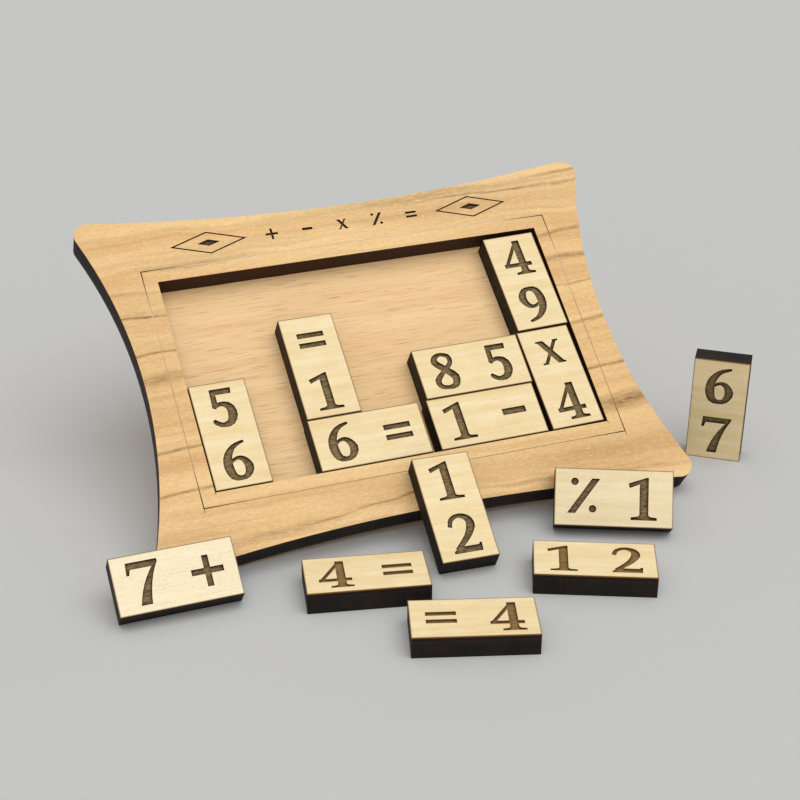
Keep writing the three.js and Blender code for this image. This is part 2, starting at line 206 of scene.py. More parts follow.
@dataclass(frozen=True)
class Grain:
    """Noise that is stretched along the grain.

    Args:
        along_mm: Size of a patch along the grain.
        across_mm: Size of a patch across it.
        detail: How many finer layers are added.
        warp: How far the lines wander.
        shift: Sets the pattern apart from others on the same piece.
        upright_mm: Size of a patch through the sheet, where that isn't the size across.
        step: How far the pattern moves for each step of the seed.
    """

    along_mm: float
    across_mm: float
    detail: float = 2.0
    warp: float = 0.0
    shift: float = 0.0
    upright_mm: float | None = None
    step: tuple[float, float, float] = GRAIN_STEP

    def draw(self, tree: Tree, coords: Source, seed: float = 0.0) -> Node:
        """Draws the noise.

        Args:
            tree: Node tree of the material.
            coords: The piece's own coordinates.
            seed: Shifts the pattern, so that no two pieces share it.

        Returns:
            The noise node.
        """
        size = (self.along_mm, self.across_mm, self.upright_mm or self.across_mm)
        stretched = add_node(tree, Kind.MAPPING, {
            "Vector": coords, "Location": [step * (seed + self.shift) for step in self.step],
            "Scale": [1 / length for length in size]})
        return add_node(tree, Kind.NOISE, {
            "Vector": stretched, "Scale": 1.0, "Detail": self.detail, "Distortion": self.warp})


@dataclass(frozen=True)
class Rectangle:
    """A rectangle on a piece's face, in millimetres.

    Args:
        half_x: Half its size along x.
        half_y: Half its size along y.
        middle_y: Where its middle lies along y.
    """

    half_x: float
    half_y: float
    middle_y: float = 0.0

    def reach(self, tree: Tree, coords: Source) -> tuple[Source, Source]:
        """Measures how far a point lies past the rectangle's sides.

        Args:
            tree: Node tree of the material.
            coords: The piece's own coordinates.

        Returns:
            Sockets of the distance past the sides along x and along y, negative within them.
        """
        off = add_node(tree, Kind.VECTOR, {0: coords, 1: (0.0, self.middle_y, 0.0)}, operation="SUBTRACT")
        size = add_node(tree, Kind.VECTOR, {0: off}, operation="ABSOLUTE")
        half = (self.half_x, self.half_y, 0.0)
        over = add_node(tree, Kind.VECTOR, {0: size, 1: half}, operation="SUBTRACT")
        split = add_node(tree, Kind.SPLIT, {"Vector": over})
        return split.outputs["X"], split.outputs["Y"]

    def outside(self, tree: Tree, coords: Source) -> Node:
        """Measures how far a point lies outside the rectangle.

        Args:
            tree: Node tree of the material.
            coords: The piece's own coordinates.

        Returns:
            Node of the distance: 0 on the rectangle and negative inside it.
        """
        past_x, past_y = self.reach(tree, coords)
        return add_node(tree, Kind.MATH, {0: past_x, 1: past_y}, operation="MAXIMUM")


SUNK = Fade(-0.03, -0.08)  # height at which a face ends and a mark or a cut edge begins
PAST_WAIST = Fade(-0.5, -0.4)  # distance past the tray's waist at which its outer edge begins


def start_material(name: str, place: Place) -> tuple[bpy.types.Material, Node]:
    """Starts a material whose patterns lie in a piece's own frame.

    Args:
        name: Name of the material.
        place: The piece's frame.

    Returns:
        The material, and the node that gives the piece's own coordinates in millimetres.
    """
    material = bpy.data.materials.new(name)
    material.use_nodes = True
    tree = material.node_tree
    tree.nodes.clear()
    coords = add_node(tree, Kind.COORDS)
    own = add_node(tree, Kind.MAPPING, {
        "Vector": coords.outputs["Object"], "Location": place.origin, "Rotation": place.turn(),
        "Scale": (MM, MM, MM)}, vector_type="TEXTURE")
    return material, own


def finish_material(material: bpy.types.Material, colour: Source, roughness: Source, height: Source,
                    relief_mm: float, specular: float) -> bpy.types.Material:
    """Ends a material with its shader.

    Args:
        material: The material that start_material began.
        colour: Node of the colour.
        roughness: Node or number.
        height: Node of the surface relief, from 0 to 1.
        relief_mm: Depth of that relief.
        specular: Specular level of the shader.

    Returns:
        The same material.
    """
    tree = material.node_tree
    bump = add_node(tree, Kind.BUMP, {"Height": height, "Distance": relief_mm * MM, "Strength": 1.0})
    shader = add_node(tree, Kind.SHADER, {
        "Base Color": colour, "Roughness": roughness, "Normal": bump, "Specular IOR Level": specular})
    add_node(tree, Kind.OUTPUT, {"Surface": shader})
    return material


@dataclass(frozen=True)
class BurntEngraving:
    """Laser-burnt marks: a toasted floor with raster streaks, darker towards the walls.

    The eye sees mid brown in the middle of a stroke, nearly black brown along its edges, which is
    partly char and partly painted shade laid in by ambient occlusion, and fine lines where the beam
    went to and fro.
    """

    toasted: str = "#9A8359"
    smoked: str = "#46341B"
    # burnt: char colour, which the ambient occlusion also lays along the walls as painted shade
    burnt: str = "#2A1B0B"
    wall: str = "#4A371B"
    wall_share: float = 0.8
    wall_foot_mm: tuple[float, float] = (0.06, 0.14)
    depth_mm: float = 0.55
    raster_mm: float = 0.32  # the beam's lines are 0.1 mm apart; drawn coarser so that they show
    raster_waver: float = 0.6
    raster_share: float = 0.3
    streaks: Grain = Grain(1.7, 0.45, 3.0, shift=0.7)
    toasting: Fade = Fade(0.44, 0.84)
    # painted shade: reach and rays of the ambient occlusion that darkens the floor next to the walls
    shade_reach_mm: float = 1.1
    shade_rays: int = 8
    unshaded_floor: Fade = Fade(0.48, 0.98)

    def colour(self, tree: Tree, coords: Source, z: Source, seed: float) -> tuple[Node, Node]:
        """Draws the floor and walls of engraved marks.

        Args:
            tree: Node tree of the material.
            coords: The piece's own coordinates.
            z: Height over the top face.
            seed: Shifts the pattern.

        Returns:
            The nodes of the colour and of the relief.
        """
        lines = add_node(tree, Kind.WAVE, {
            "Vector": coords, "Scale": WAVE_PERIOD / self.raster_mm,
            "Distortion": self.raster_waver}, bands_direction="Y")
        streak = self.streaks.draw(tree, coords, seed)
        raster = add_node(tree, Kind.MATH, {
            0: lines, 1: self.raster_share, 2: streak}, operation="MULTIPLY_ADD")
        floor = Stain(self.toasted, self.toasting).over(tree, linear(self.smoked), raster)
        # painted shade: ambient occlusion lays the burnt colour over the floor where the walls crowd it
        occlusion_shade = add_node(tree, Kind.AMBIENT_OCCLUSION, {
            "Distance": self.shade_reach_mm * MM}, samples=self.shade_rays, only_local=True)
        clear = add_node(tree, Kind.RANGE, self.unshaded_floor.reads(occlusion_shade.outputs["AO"]))
        shaded = add_node(tree, Kind.MIX, {
            "Factor": clear, "A": linear(self.burnt), "B": floor}, data_type="RGBA")
        low, high = (foot - self.depth_mm for foot in self.wall_foot_mm)
        return Stain(self.wall, Fade(low, high, self.wall_share)).over(tree, shaded, z), raster


DEEP_BURN = BurntEngraving()
# painted light: a lighter copy of the burn for the tiles lying on the table, with paler walls and less shade
# in their strokes
PAINTED_LIGHT_BURN = BurntEngraving(toasted="#9C7B49", smoked="#6E5230", burnt="#5C4325", wall="#7A5C33")
FINE_BURN = BurntEngraving(toasted="#6E5636", smoked="#4A3820", burnt="#23180D", wall="#33241A")


@dataclass(frozen=True)
class MapleVeneer:
    """Sliced maple veneer, sanded and left bare, with signs burnt in by a laser.

    The eye sees a pale cream face with faint silky fibres and soft bands, a few short brown flecks,
    a toasted hairline round the cut edge and an amber line on the veneer's own edge.
    """

    engraving: BurntEngraving = DEEP_BURN
    # cream: paler face colour, used only for painted light on single tiles
    cream: str = "#FFF3D6"
    pale: str = "#F8E5B9"
    warm: Stain = Stain("#EDD29B", Fade(0.55, 1.0))
    bands: Grain = Grain(42.0, 2.4, 3.0, 0.5)
    clouds: Grain = Grain(6.0, 4.0, shift=0.3)
    cloud_share: float = 0.5
    silk: Stain = Stain("#DDBB80", Fade(0.5, 0.8, 0.36))
    fibres: Grain = Grain(9.0, 0.35, 4.0, shift=0.5)
    dust: Stain = Stain("#DDBB80", Fade(0.48, 0.78, 0.3))
    specks: Grain = Grain(0.9, 0.45, shift=1.1)
    fleck: Stain = Stain("#C49A5A", Fade(0.72, 0.82, 0.4))
    dashes: Grain = Grain(1.5, 0.2, 1.0, shift=0.9)
    toast: Stain = Stain("#6B4A20", Fade(-0.34, -0.06, 0.95))
    at_edge: Fade = Fade(-0.06, -0.03)
    amber: str = "#9A5E20"
    char: Stain = Stain("#15100C", Fade(-0.06, -0.42))
    gloss: Fade = Fade(least=0.5, most=0.62)
    relief_mm: float = 0.03
    specular: float = 0.3

    def make(self, name: str, place: Place, outline: Rectangle, painted_light: float,
             seed: float) -> bpy.types.Material:
        """Makes the veneer of one tile.

        Args:
            name: Name of the tile.
            place: The tile's frame.
            outline: The tile's outline.
            painted_light: Painted light: how far this tile's face is lifted towards cream to stand in for
                light falling on it, from 0 to 1.
            seed: Shifts the pattern.

        Returns:
            The material.
        """
        material, coords = start_material(f"maple_veneer_{name}", place)
        tree = material.node_tree
        z = add_node(tree, Kind.SPLIT, {"Vector": coords}).outputs["Z"]
        band = self.bands.draw(tree, coords, seed)
        cloud = self.clouds.draw(tree, coords, seed)
        soft = add_node(tree, Kind.MATH, {0: cloud, 1: self.cloud_share, 2: band}, operation="MULTIPLY_ADD")
        wood = self.warm.over(tree, linear(self.pale), soft)
        # painted light: the face is lifted towards cream by the tile's painted-light share
        wood = add_node(tree, Kind.MIX, {
            "Factor": painted_light, "A": wood, "B": linear(self.cream)}, data_type="RGBA")
        fibre = self.fibres.draw(tree, coords, seed)
        wood = self.silk.over(tree, wood, fibre)
        wood = self.dust.over(tree, wood, self.specks.draw(tree, coords, seed))
        wood = self.fleck.over(tree, wood, self.dashes.draw(tree, coords, seed))
        edge = outline.outside(tree, coords)
        wood = self.toast.over(tree, wood, edge)

        burnt, raster = self.engraving.colour(tree, coords, z, seed)
        sunk = add_node(tree, Kind.RANGE, SUNK.reads(z))
        face = add_node(tree, Kind.MIX, {"Factor": sunk, "A": wood, "B": burnt}, data_type="RGBA")
        side = self.char.over(tree, linear(self.amber), z)
        at_edge = add_node(tree, Kind.RANGE, self.at_edge.reads(edge))
        outside = add_node(tree, Kind.MATH, {0: at_edge, 1: sunk}, operation="MULTIPLY")
        colour = add_node(tree, Kind.MIX, {"Factor": outside, "A": face, "B": side}, data_type="RGBA")

        gloss = add_node(tree, Kind.RANGE, self.gloss.reads(fibre))
        roughness = add_node(tree, Kind.MIX, {"Factor": sunk, "A": gloss, "B": BURNT_ROUGHNESS})
        relief = add_node(tree, Kind.MIX, {"Factor": sunk, "A": fibre, "B": raster})
        return finish_material(material, colour, roughness, relief, self.relief_mm, self.specular)


@dataclass(frozen=True)
class CharredPly:
    """Plywood cut through by a laser: the cut is charred, the underside is bare veneer.

    The eye sees a matt near-black cut with fine upright furrows, a little red brown under the face
    layer and, on the walls of a window, a dark brown.
    """

    name: str = "charred_ply"
    char: str = "#0D0B0A"
    brown: str = "#35230F"
    brown_share: tuple[float, float] = (0.35, 1.0)
    browning: tuple[float, float] = (0.6, 0.95)
    furrows: Grain = Grain(0.8, 0.8, 1.0, upright_mm=9.0, step=FURROW_STEP)
    furrow_share: float = 0.5
    patches: Grain = Grain(5.0, 5.0, shift=0.4)
    ply: Stain = Stain("#3B2112", Fade(0.4, 1.0, 0.06))
    ply_mm: float = 1.5
    scorch: str = "#3B2112"
    scorch_mm: float = 0.7
    scorch_share: float = 0.55
    window: Stain = Stain("#3A200F", Fade(0.3, 0.2, 0.85))
    bare: str = "#DDC08C"
    bare_mm: tuple[float, float] = (0.02, 0.005)
    fibre: Stain = Stain("#C39F66", Fade(0.4, 0.75))
    fibres: Grain = Grain(9.0, 0.4, 3.0, shift=0.6)
    roughness: float = 0.72
    relief_mm: float = 0.02
    specular: float = 0.28

    def make(self, name: str, place: Place, top_mm: float, bottom_mm: float, warmth: float,
             seed: float, window: Rectangle | None = None) -> bpy.types.Material:
        """Makes the charred cut of one sheet.

        Args:
            name: Name of the piece.
            place: The piece's frame.
            top_mm: Height of the sheet's top in that frame.
            bottom_mm: Height of its underside.
            warmth: How brown the cut is, from 0 to 1; on the tiles in the tray this brown is painted
                reflection of the tray's wood.
            seed: Shifts the pattern.
            window: A window in the sheet, whose walls are less charred.

        Returns:
            The material.
        """
        material, coords = start_material(f"{self.name}_{name}", place)
        tree = material.node_tree
        z = add_node(tree, Kind.SPLIT, {"Vector": coords}).outputs["Z"]
        furrow = self.furrows.draw(tree, coords, seed)
        patch = self.patches.draw(tree, coords, seed)
        burn = add_node(tree, Kind.MATH, {
            0: furrow, 1: self.furrow_share, 2: patch}, operation="MULTIPLY_ADD")
        # painted reflection: the brown share grows with warmth, which on the tiles in the tray stands in for
        # the tray's wood reflected in their cut
        least, most = self.brown_share
        tint = Fade(*self.browning, least + (most - least) * warmth)
        cut = Stain(self.brown, tint).over(tree, linear(self.char), burn)
        plies = add_node(tree, Kind.WAVE, {
            "Vector": coords, "Scale": WAVE_PERIOD / self.ply_mm}, bands_direction="Z")
        cut = self.ply.over(tree, cut, plies)
        cut = Stain(self.scorch, Fade(top_mm - self.scorch_mm, top_mm, self.scorch_share)).over(tree, cut, z)
        if window:
            cut = self.window.over(tree, cut, window.outside(tree, coords))
        bare = self.fibre.over(tree, linear(self.bare), self.fibres.draw(tree, coords, seed))
        below = add_node(tree, Kind.RANGE, Fade(*(bottom_mm + over for over in self.bare_mm)).reads(z))
        colour = add_node(tree, Kind.MIX, {"Factor": below, "A": cut, "B": bare}, data_type="RGBA")
        return finish_material(material, colour, self.roughness, furrow, self.relief_mm, self.specular)


@dataclass(frozen=True)
class Streak:
    """One dark growth line in a veneer, drawn as a long soft ellipse.

    Args:
        start: One end in the piece's frame, in millimetres.
        end: The other end.
        width_mm: Width at the middle.
        depth: How dark it is, from 0 to 1.
    """

    start: tuple[float, float]
    end: tuple[float, float]
    width_mm: float
    depth: float


@dataclass(frozen=True)
class FruitwoodVeneer:
    """Sliced fruitwood veneer with a thin coat of oil, engraved by a laser.

    The eye sees honey brown with a fine even pore, faint lines along the tray, a few dark growth
    lines across the narrow margins, and hairline engraving that is darkest where the beam stopped.
    """

    name: str = "fruitwood_veneer"
    engraving: BurntEngraving = FINE_BURN
    engraving_seed: float = 2.0
    honey: str = "#F4CE92"
    tan: Stain = Stain("#E0B174", Fade(0.36, 0.7))
    bands: Grain = Grain(110.0, 7.0, shift=0.2)
    brown: str = "#8A602C"
    line: Stain = Stain("#8A602C", Fade(0.5, 0.82, 0.3))
    lines: Grain = Grain(70.0, 1.6, 4.0, shift=0.8)
    sway: Grain = Grain(16.0, 16.0, 1.0)
    sway_mm: float = 3.2
    breaks: Fade = Fade(0.3, 0.7, most=1.3, least=0.45)
    tears: Grain = Grain(3.2, 0.3, 3.0, shift=1.9)
    pore: Stain = Stain("#C0935A", Fade(0.5, 0.78, 0.5))
    glint: Stain = Stain("#FFE3B4", Fade(0.42, 0.26, 0.6))
    pores: Grain = Grain(1.1, 0.22, 3.0, shift=1.4)
    amber: str = "#6E431B"
    outer_char: Stain = Stain("#15100C", Fade(-0.1, -0.7))
    window_char: Stain = Stain("#3A200F", Fade(-0.1, -0.7))
    in_window: Fade = Fade(0.2, 0.1)
    hairline: str = "#E6C391"
    whitened: str = "#FFF4DC"
    on_border: Fade = Fade(1.1, 0.9)
    fast_beam: Fade = Fade(-1.0, -14.0, 0.85)
    overshoot_mm: float = 1.2
    overshoot_half_mm: float = 0.18
    overshoot_share: float = 0.6
    gloss: Fade = Fade(least=0.42, most=0.6)
    relief_mm: float = 0.03
    specular: float = 0.3
    streak_through_mm: float = 100.0
    streaks: tuple[Streak, ...] = (
        Streak((-84, 29.6), (-50, 29.2), 1.2, 0.5),
        Streak((-88, 21.9), (-40, 21.6), 0.8, 0.95),
        Streak((-84, 22.8), (-44, 22.6), 2.2, 0.4),
        Streak((-88, 10.2), (-40, 10.0), 0.7, 1.0),
        Streak((-84, 2.6), (-44, 2.2), 3.0, 0.65),
        Streak((-88, 3.4), (-42, 3.0), 0.8, 0.5),
        Streak((-88, -20.6), (-40, -17.8), 0.7, 0.95),
        Streak((-88, -33.2), (-36, -29.6), 0.7, 0.9),
        Streak((44, 26.4), (86, 34.6), 0.9, 0.8),
        Streak((44, 20.2), (88, 22.0), 1.6, 0.85),
        Streak((44, 11.8), (82, 11.6), 0.6, 0.6),
        Streak((44, -1.2), (86, 0.0), 1.1, 0.7),
        Streak((40, -15.7), (88, -15.3), 0.7, 1.0),
        Streak((42, -28.5), (88, -26.9), 3.4, 1.0),
        Streak((40, -26.4), (84, -24.6), 0.8, 0.5),
        Streak((-70, -49.0), (-14, -46.6), 2.0, 0.6),
        Streak((-46, -48.4), (-14, -45.6), 0.7, 0.8),
        Streak((-30, -47.2), (14, -40.6), 0.7, 0.95),
        Streak((-4, -45.6), (90, -50.2), 1.0, 0.6),
        Streak((-36, 47.8), (86, 48.6), 2.4, 0.62),
        Streak((-2, 46.7), (106, 47.0), 0.9, 0.85),
        Streak((44, 48.8), (100, 52.2), 0.9, 0.7),
        Streak((-72, 36.4), (-20, 37.2), 1.7, 0.62),
        Streak((-10, 44.0), (90, 44.0), 9.0, 0.3),
        Streak((-40, -45.0), (40, -42.0), 7.0, 0.22),
        Streak((10, -42.0), (100, -40.0), 9.0, 0.24),
        Streak((-90, 6.0), (-46, 6.0), 40.0, 0.14),
    )

    def make(self, place: Place, tray: "Tray") -> bpy.types.Material:
        """Makes the frame's face.

        Args:
            place: The tray's frame.
            tray: The tray, for the sizes of its window and its border line.

        Returns:
            The material.
        """
        material, coords = start_material(self.name, place)
        tree = material.node_tree
        z = add_node(tree, Kind.SPLIT, {"Vector": coords}).outputs["Z"]
        pore = self.pores.draw(tree, coords)
        wood = self.plain_wood(tree, coords, pore)
        ticks = self.overshoots(tree, coords, tray)
        wood = add_node(tree, Kind.MIX, {
            "Factor": ticks, "A": wood, "B": linear(self.engraving.smoked)}, data_type="RGBA")

        burnt, raster = self.engraving.colour(tree, coords, z, self.engraving_seed)
        burnt = self.border_line(tree, coords, tray, burnt)
        sunk = add_node(tree, Kind.RANGE, SUNK.reads(z))
        face = add_node(tree, Kind.MIX, {"Factor": sunk, "A": wood, "B": burnt}, data_type="RGBA")
        colour = self.cut_edges(tree, coords, tray, sunk, z, face)
        gloss = add_node(tree, Kind.RANGE, self.gloss.reads(pore))
        roughness = add_node(tree, Kind.MIX, {"Factor": sunk, "A": gloss, "B": BURNT_ROUGHNESS})
        relief = add_node(tree, Kind.MIX, {"Factor": sunk, "A": pore, "B": raster})
        return finish_material(material, colour, roughness, relief, self.relief_mm, self.specular)

    def plain_wood(self, tree: Tree, coords: Source, pore: Source) -> Node:
        """Draws the veneer itself, without marks.

        Args:
            tree: Node tree of the material.
            coords: The tray's coordinates.
            pore: The pattern of pores.

        Returns:
            Node of the colour.
        """
        sway = self.sway.draw(tree, coords)
        middle_grey = (0.5, 0.5, 0.5)
        shift = add_node(tree, Kind.VECTOR, {0: sway.outputs["Color"], 1: middle_grey}, operation="SUBTRACT")
        swayed = add_node(tree, Kind.VECTOR, {
            0: shift, 1: (0.0, self.sway_mm, 0.0), 2: coords}, operation="MULTIPLY_ADD")
        wood = self.tan.over(tree, linear(self.honey), self.bands.draw(tree, swayed))
        wood = self.line.over(tree, wood, self.lines.draw(tree, swayed))
        grown = self.growth_lines(tree, swayed)
        breaks = add_node(tree, Kind.RANGE, self.breaks.reads(self.tears.draw(tree, coords)))
        dark = add_node(tree, Kind.MATH, {0: grown, 1: breaks}, operation="MULTIPLY", use_clamp=True)
        wood = add_node(tree, Kind.MIX, {
            "Factor": dark, "A": wood, "B": linear(self.brown)}, data_type="RGBA")
        wood = self.pore.over(tree, wood, pore)
        return self.glint.over(tree, wood, pore)

    def growth_lines(self, tree: Tree, coords: Source) -> Source:
        """Draws the dark growth lines.

        Args:
            tree: Node tree of the material.
            coords: The tray's coordinates, swayed a little.

        Returns:
            How dark the wood is, from 0 to 1.
        """
        dark: Source = 0.0
        for streak in self.streaks:
            (x0, y0), (x1, y1) = streak.start, streak.end
            half_length = math.hypot(x1 - x0, y1 - y0) / 2
            ellipse = add_node(tree, Kind.MAPPING, {
                "Vector": coords, "Location": ((x0 + x1) / 2, (y0 + y1) / 2, 0.0),
                "Rotation": (0.0, 0.0, math.atan2(y1 - y0, x1 - x0)),
                "Scale": (half_length, streak.width_mm, self.streak_through_mm)}, vector_type="TEXTURE")
            soft = add_node(tree, Kind.GRADIENT, {"Vector": ellipse}, gradient_type="SPHERICAL")
            deep = add_node(tree, Kind.MATH, {0: soft, 1: streak.depth}, operation="MULTIPLY")
            dark = add_node(tree, Kind.MATH, {0: dark, 1: deep}, operation="MAXIMUM")
        return dark

    def overshoots(self, tree: Tree, coords: Source, tray: "Tray") -> Node:
        """Draws short scorched ends where the beam ran past a front corner of the border line or window.

        Args:
            tree: Node tree of the material.
            coords: The tray's coordinates.
            tray: The tray, for its sizes.

        Returns:
            Node of the mark, from 0 to 1.
        """
        mark: Source = 0.0
        y = add_node(tree, Kind.SPLIT, {"Vector": coords}).outputs["Y"]
        ahead = add_node(tree, Kind.MATH, {0: y, 1: 0.0}, operation="LESS_THAN")
        for rectangle, length in ((tray.border, self.overshoot_mm), (tray.window, self.overshoot_mm / 2)):
            past_x, past_y = rectangle.reach(tree, coords)
            beside = add_node(tree, Kind.MATH, {
                0: past_x, 1: 0.0, 2: self.overshoot_half_mm}, operation="COMPARE")
            past = add_node(tree, Kind.MATH, {0: past_y, 1: length / 2, 2: length / 2}, operation="COMPARE")
            both = add_node(tree, Kind.MATH, {0: beside, 1: past}, operation="MULTIPLY")
            mark = add_node(tree, Kind.MATH, {0: mark, 1: both}, operation="MAXIMUM")
        mark = add_node(tree, Kind.MATH, {0: mark, 1: ahead}, operation="MULTIPLY")
        return add_node(tree, Kind.MATH, {0: mark, 1: self.overshoot_share}, operation="MULTIPLY")

    def border_line(self, tree: Tree, coords: Source, tray: "Tray", burnt: Source) -> Node:
        """Lightens the border line away from its corners, where the beam ran fast.

        Args:
            tree: Node tree of the material.
            coords: The tray's coordinates.
            tray: The tray, for its sizes.
            burnt: The engraving's colour.

        Returns:
            Node of the colour of all engraved marks.
        """
        past_x, past_y = tray.border.reach(tree, coords)
        from_line = add_node(tree, Kind.MATH, {0: past_x, 1: past_y}, operation="MAXIMUM")
        on_line = add_node(tree, Kind.RANGE, self.on_border.reads(from_line))
        to_corner = add_node(tree, Kind.MATH, {0: past_x, 1: past_y}, operation="MINIMUM")
        fast = add_node(tree, Kind.RANGE, self.fast_beam.reads(to_corner))
        light = add_node(tree, Kind.MATH, {0: on_line, 1: fast}, operation="MULTIPLY")
        y = add_node(tree, Kind.SPLIT, {"Vector": coords}).outputs["Y"]
        line = Stain(self.whitened, Fade(0.0, tray.border.half_y)).over(tree, linear(self.hairline), y)
        return add_node(tree, Kind.MIX, {"Factor": light, "A": burnt, "B": line}, data_type="RGBA")

    def cut_edges(self, tree: Tree, coords: Source, tray: "Tray", sunk: Source, z: Source,
                  face: Source) -> Node:
        """Chars the veneer's cut edges round the outline and in the window.

        Args:
            tree: Node tree of the material.
            coords: The tray's coordinates.
            tray: The tray, for its sizes.
            sunk: 1 below the face.
            z: Height over the face.
            face: Colour of the face and its marks.

        Returns:
            Node of the whole colour.
        """
        colour = face
        for rectangle, fade, char in ((tray.waist, PAST_WAIST, self.outer_char),
                                      (tray.window, self.in_window, self.window_char)):
            near = add_node(tree, Kind.RANGE, fade.reads(rectangle.outside(tree, coords)))
            cut = add_node(tree, Kind.MATH, {0: near, 1: sunk}, operation="MULTIPLY")
            edge = char.over(tree, linear(self.amber), z)
            colour = add_node(tree, Kind.MIX, {"Factor": cut, "A": colour, "B": edge}, data_type="RGBA")
        return colour


@dataclass(frozen=True)
class BeechSheet:
    """Thin sanded beech sheet under the frame, charred where it was cut.

    The eye sees a rosy tan with many short dark ray flecks along the grain and soft broad bands.
    """

    name: str = "beech_sheet"
    rosy: str = "#F6D09C"
    tan: Stain = Stain("#EEC68F", Fade(0.35, 0.68))
    bands: Grain = Grain(80.0, 4.5, 2.0, 0.4, shift=3.1)
    fibre: Stain = Stain("#B4753A", Fade(0.5, 0.8, 0.3))
    fibres: Grain = Grain(12.0, 0.4, 3.0, shift=3.5)
    fleck: Stain = Stain("#B4753A", Fade(0.61, 0.75, 0.66))
    rays: Grain = Grain(7.5, 0.3, 1.0, shift=3.9)
    char: str = "#15110E"
    cut_foot_mm: tuple[float, float] = (0.02, 0.06)
    gloss: Fade = Fade(least=0.5, most=0.66)
    relief_mm: float = 0.03
    specular: float = 0.3

    def make(self, place: Place, tray: "Tray") -> bpy.types.Material:
        """Makes the tray's floor.

        Args:
            place: The tray's frame.
            tray: The tray, for its waist and its underside.

        Returns:
            The material.
        """
        material, coords = start_material(self.name, place)
        tree = material.node_tree
        z = add_node(tree, Kind.SPLIT, {"Vector": coords}).outputs["Z"]
        fibre = self.fibres.draw(tree, coords)
        wood = self.tan.over(tree, linear(self.rosy), self.bands.draw(tree, coords))
        wood = self.fibre.over(tree, wood, fibre)
        wood = self.fleck.over(tree, wood, self.rays.draw(tree, coords))
        outside = add_node(tree, Kind.RANGE, PAST_WAIST.reads(tray.waist.outside(tree, coords)))
        foot = Fade(*(tray.under_mm + over for over in self.cut_foot_mm))
        above = add_node(tree, Kind.RANGE, foot.reads(z))
        cut = add_node(tree, Kind.MATH, {0: outside, 1: above}, operation="MULTIPLY")
        colour = add_node(tree, Kind.MIX, {
            "Factor": cut, "A": wood, "B": linear(self.char)}, data_type="RGBA")
        roughness = add_node(tree, Kind.RANGE, self.gloss.reads(fibre))
        return finish_material(material, colour, roughness, fibre, self.relief_mm, self.specular)


@dataclass(frozen=True)
class SawnSoftwood:
    """A sawn and sanded block of softwood.

    The eye sees straw yellow with wide soft early-wood bands and narrow orange late-wood lines.
    """

    name: str = "sawn_softwood"
    early: str = "#E3CB9A"
    late: Stain = Stain("#C3935A", Fade(0.6, 1.0, 0.6), Ramp.SOFT)
    ring_mm: float = 2.6
    ring_waver: float = 2.6
    ring_waver_scale: float = 0.5
    pith_mm: tuple[float, float, float] = (0.0, 26.0, 40.0)
    pith_lean: tuple[float, float, float] = (0.0, 0.03, 0.05)
    pith_stretch: tuple[float, float, float] = (0.3, 1.0, 1.0)
    fibre: Stain = Stain("#C3935A", Fade(0.45, 0.8, 0.35))
    fibres: Grain = Grain(14.0, 0.5, 3.0, shift=5.2)
    saw: Grain = Grain(0.5, 12.0, shift=5.8)
    saw_share: float = 0.5
    gloss: Fade = Fade(least=0.55, most=0.75)
    relief_mm: float = 0.05
    specular: float = 0.3

    def make(self, place: Place) -> bpy.types.Material:
        """Makes the wedge's wood.

        Args:
            place: The wedge's frame.

        Returns:
            The material.
        """
        material, coords = start_material(self.name, place)
        tree = material.node_tree
        pith = add_node(tree, Kind.MAPPING, {
            "Vector": coords, "Location": self.pith_mm, "Rotation": self.pith_lean,
            "Scale": self.pith_stretch})
        ring = add_node(tree, Kind.WAVE, {
            "Vector": pith, "Scale": WAVE_PERIOD / self.ring_mm, "Distortion": self.ring_waver,
            "Detail Scale": self.ring_waver_scale},
            wave_type="RINGS", rings_direction="X", wave_profile="SAW")
        fibre = self.fibres.draw(tree, coords)
        wood = self.late.over(tree, linear(self.early), ring)
        wood = self.fibre.over(tree, wood, fibre)
        saw = self.saw.draw(tree, coords)
        relief = add_node(tree, Kind.MATH, {0: saw, 1: self.saw_share, 2: fibre}, operation="MULTIPLY_ADD")
        roughness = add_node(tree, Kind.RANGE, self.gloss.reads(fibre))
        return finish_material(material, wood, roughness, relief, self.relief_mm, self.specular)


def dress(node: str, material: bpy.types.Material) -> None:
    """Gives a solid its material.

    Args:
        node: Name of the solid.
        material: The material.
    """
    piece = frame["nodes"][node]
    piece.data.materials.clear()
    piece.data.materials.append(material)
    log.info("%s: %s", node, material.name)


def middle(node: str) -> Vector:
    """Gives the middle of a solid's box at rest."""
    low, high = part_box(node)
    return (low + high) / 2


@dataclass
class Tray:
    """The tray: frame board, frame face and floor sheet on one slope, and the wedge that holds it."""

    window: Rectangle = Rectangle(56.275, 32.775, -0.6)
    border: Rectangle = Rectangle(60.175, 36.675, -0.6)
    waist: Rectangle = Rectangle(67.0, 49.0)
    veneer_mm: float = 1.0
    board_top_mm: float = -1.05
    board_under_mm: float = -6.1
    under_mm: float = -7.25
    cut_warmth: float = 0.2
    cut_seed: float = 4.0
    lift_joint: str = "lift_5_6"
    face: FruitwoodVeneer = FruitwoodVeneer()
    cut: CharredPly = CharredPly()
    floor: BeechSheet = BeechSheet()
    block: SawnSoftwood = SawnSoftwood()

    def place(self) -> Place:
        """Gives the tray's frame, whose z is the way that the tiles lift out of the window."""
        axis = next(j["axis"] for j in frame["joints"] if j["name"] == self.lift_joint)
        up = Vector(axis).normalized()
        return Place(middle("frame_face") + up * self.veneer_mm / 2 * MM, Vector((1, 0, 0)), up)

    def dress(self) -> None:
        """Dresses the four solids of the tray."""
        place = self.place()
        dress("frame_face", self.face.make(place, self))
        dress("frame_board", self.cut.make(
            "frame", place, self.board_top_mm, self.board_under_mm, self.cut_warmth, self.cut_seed,
            self.window))
        dress("base_board", self.floor.make(place, self))
        top = middle("tilt_wedge")
        top.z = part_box("tilt_wedge")[1].z
        dress("tilt_wedge", self.block.make(Place(top, Vector((1, 0, 0)), Vector((0, 0, 1)))))


